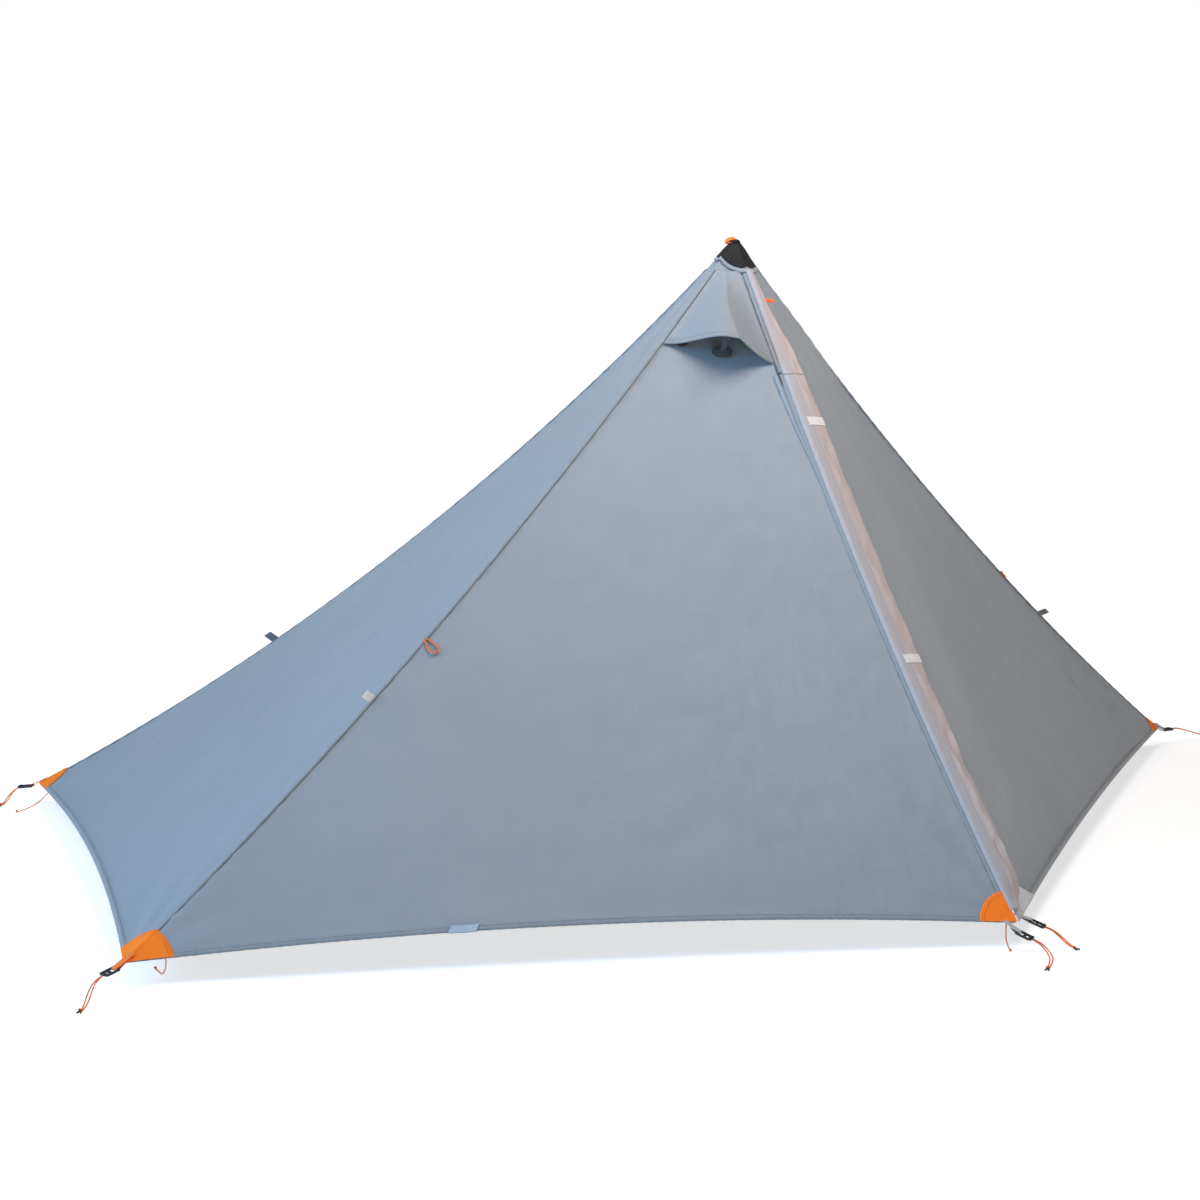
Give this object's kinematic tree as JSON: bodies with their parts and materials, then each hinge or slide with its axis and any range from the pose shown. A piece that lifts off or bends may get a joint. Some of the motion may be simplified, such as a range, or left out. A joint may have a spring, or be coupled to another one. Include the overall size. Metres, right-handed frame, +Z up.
{
  "type": "pyramid tent",
  "caption": "Pyramid shelter on one adjustable centre pole, with curved ridges, a zipped fold-back door, a hooded vent at the peak and tensioned corner lines.",
  "frame": {"origin": "the floor under the peak, at the bottom of the pole's foot", "axes": "+Z up, the door side faces -Y, +X to the right of someone who faces the door"},
  "size_m": [3.0976, 2.0526, 1.321],
  "materials": {
    "fly_cloth": "coated ripstop nylon, faint sheen",
    "seam_cloth": "felled and double stitched",
    "flap_cloth": "uncoated side of the cloth, matt",
    "label_cloth": "woven",
    "black_cloth": "coarse reinforced weave",
    "orange_cloth": "woven",
    "orange_webbing": "ribbed webbing",
    "grey_webbing": "ribbed webbing",
    "pale_webbing": "ribbed webbing",
    "pale_hook_tape": "hook-and-loop tape",
    "black_hook_tape": "hook-and-loop tape",
    "mesh_cloth": "fine net",
    "black_plastic": "moulded, fine grain",
    "zip_tape": "woven tape and nylon coil",
    "zip_metal": "dark enamel",
    "orange_pull": "soft moulded",
    "pole_metal": "brushed and anodised",
    "pin_steel": "satin",
    "foot_rubber": "matt",
    "orange_cord": "braided"
  },
  "bodies": {
    "canopy": {"left_panel": "fly_cloth", "back_panel": "fly_cloth", "right_panel": "fly_cloth", "right_corner_web": "fly_cloth", "front_fixed_panel": "fly_cloth", "vent_hood": "fly_cloth", "ridge_seam_a": "seam_cloth", "ridge_seam_c": "seam_cloth", "ridge_seam_d": "seam_cloth", "storm_flap_top": "flap_cloth", "peak_cap": "black_cloth", "hood_brim_stiffener": "black_cloth", "corner_patches": "orange_cloth", "peak_loop": "orange_webbing", "orange_straps": "orange_webbing", "grey_straps": "grey_webbing", "ridge_tabs": "pale_webbing", "flap_pads": "pale_hook_tape", "vent_pads": "black_hook_tape", "vent_mesh": "mesh_cloth", "pole_cup": "black_plastic", "clamp_collar": "black_plastic", "pole_bush": "black_plastic", "pole_top_plug": "black_plastic", "strut_keeper": "black_plastic", "zip_top_half": "zip_tape", "zip_wall_half": "zip_tape", "pole_upper_tube": "pole_metal", "clamp_pin": "pin_steel", "tie_cord_a": "orange_cord", "tie_cord_b": "orange_cord", "tie_cord_c": "orange_cord", "tie_cord_d": "orange_cord", "guy_loop_a": "orange_cord", "guy_loop_c": "orange_cord"},
    "door": {"door_panel": "fly_cloth", "zip_door_half": "zip_tape", "door_corner_patch": "orange_cloth", "door_strap": "grey_webbing", "hem_label": "label_cloth"},
    "flap": {"storm_flap": "flap_cloth", "flap_tabs": "pale_hook_tape"},
    "upper_slider": {"zip_slider_top": "zip_metal", "zip_pull_top": "orange_pull"},
    "lower_slider": {"zip_slider_low": "zip_metal", "zip_pull_low": "orange_pull"},
    "strut": {"vent_strut": "black_plastic"},
    "pole_lower": {"pole_lower_tube": "pole_metal", "pole_foot": "foot_rubber"},
    "lever": {"clamp_lever": "black_plastic"},
    "line_a": {"tensioner_a": "black_plastic", "stake_cord_a": "orange_cord"},
    "line_b_door": {"tensioner_b_door": "black_plastic", "stake_cord_b_door": "orange_cord"},
    "line_b_wall": {"tensioner_b_wall": "black_plastic", "stake_cord_b_wall": "orange_cord"},
    "line_c": {"tensioner_c": "black_plastic", "stake_cord_c": "orange_cord"},
    "line_d": {"tensioner_d": "black_plastic", "stake_cord_d": "orange_cord"}
  },
  "joints": [
    {"name": "door_swing", "type": "hinge", "parent": "canopy", "child": "door", "pos_m": [0.05262, -0.19731, 1.03528], "axis": [-0.7382, -0.4131, -0.5333], "range_deg": [0, 100]},
    {"name": "storm_flap_swing", "type": "hinge", "parent": "door", "child": "flap", "pos_m": [0.03854, -0.20217, 1.02978], "axis": [0.1706, -0.6398, -0.7494], "range_deg": [0, 60]},
    {"name": "upper_slider_run", "type": "hinge", "parent": "canopy", "child": "upper_slider", "pos_m": [1.97276, -7.39783, 6.78789], "axis": [-0.9662, -0.2577, 0], "range_deg": [0, 4.19]},
    {"name": "lower_slider_run", "type": "hinge", "parent": "canopy", "child": "lower_slider", "pos_m": [1.97276, -7.39783, 6.78789], "axis": [-0.9662, -0.2577, 0], "range_deg": [-4.17, 0]},
    {"name": "vent_strut_swing", "type": "hinge", "parent": "canopy", "child": "strut", "pos_m": [-0.08761, -0.18873, 1.1231], "axis": [-0.9986, 0.0367, -0.039], "range_deg": [0, 70]},
    {"name": "pole_slide", "type": "slide", "parent": "canopy", "child": "pole_lower", "axis": [0, 0, 1], "range_m": [0, 0.42]},
    {"name": "lever_swing", "type": "hinge", "parent": "canopy", "child": "lever", "pos_m": [0.02, 0, 0.6185], "axis": [0, 0, -1], "range_deg": [0, 100]},
    {"name": "line_a_swing", "type": "hinge", "parent": "canopy", "child": "line_a", "pos_m": [-1.437, -0.972, 0.038], "axis": [-0.5592, 0.829, 0], "range_deg": [0, 60]},
    {"name": "line_b_door_swing", "type": "hinge", "parent": "door", "child": "line_b_door", "pos_m": [0.27, -1.082, 0.035], "axis": [-0.6691, -0.7431, 0], "range_deg": [0, 60]},
    {"name": "line_b_wall_swing", "type": "hinge", "parent": "canopy", "child": "line_b_wall", "pos_m": [0.312, -1.034, 0.044], "axis": [-0.4695, -0.8829, 0], "range_deg": [0, 60]},
    {"name": "line_c_swing", "type": "hinge", "parent": "canopy", "child": "line_c", "pos_m": [1.318, 0.74, 0.04], "axis": [0.4894, -0.8721, 0], "range_deg": [0, 60]},
    {"name": "line_d_swing", "type": "hinge", "parent": "canopy", "child": "line_d", "pos_m": [-1.478, 0.699, 0.04], "axis": [0.4274, 0.9041, 0], "range_deg": [0, 60]}
  ]
}
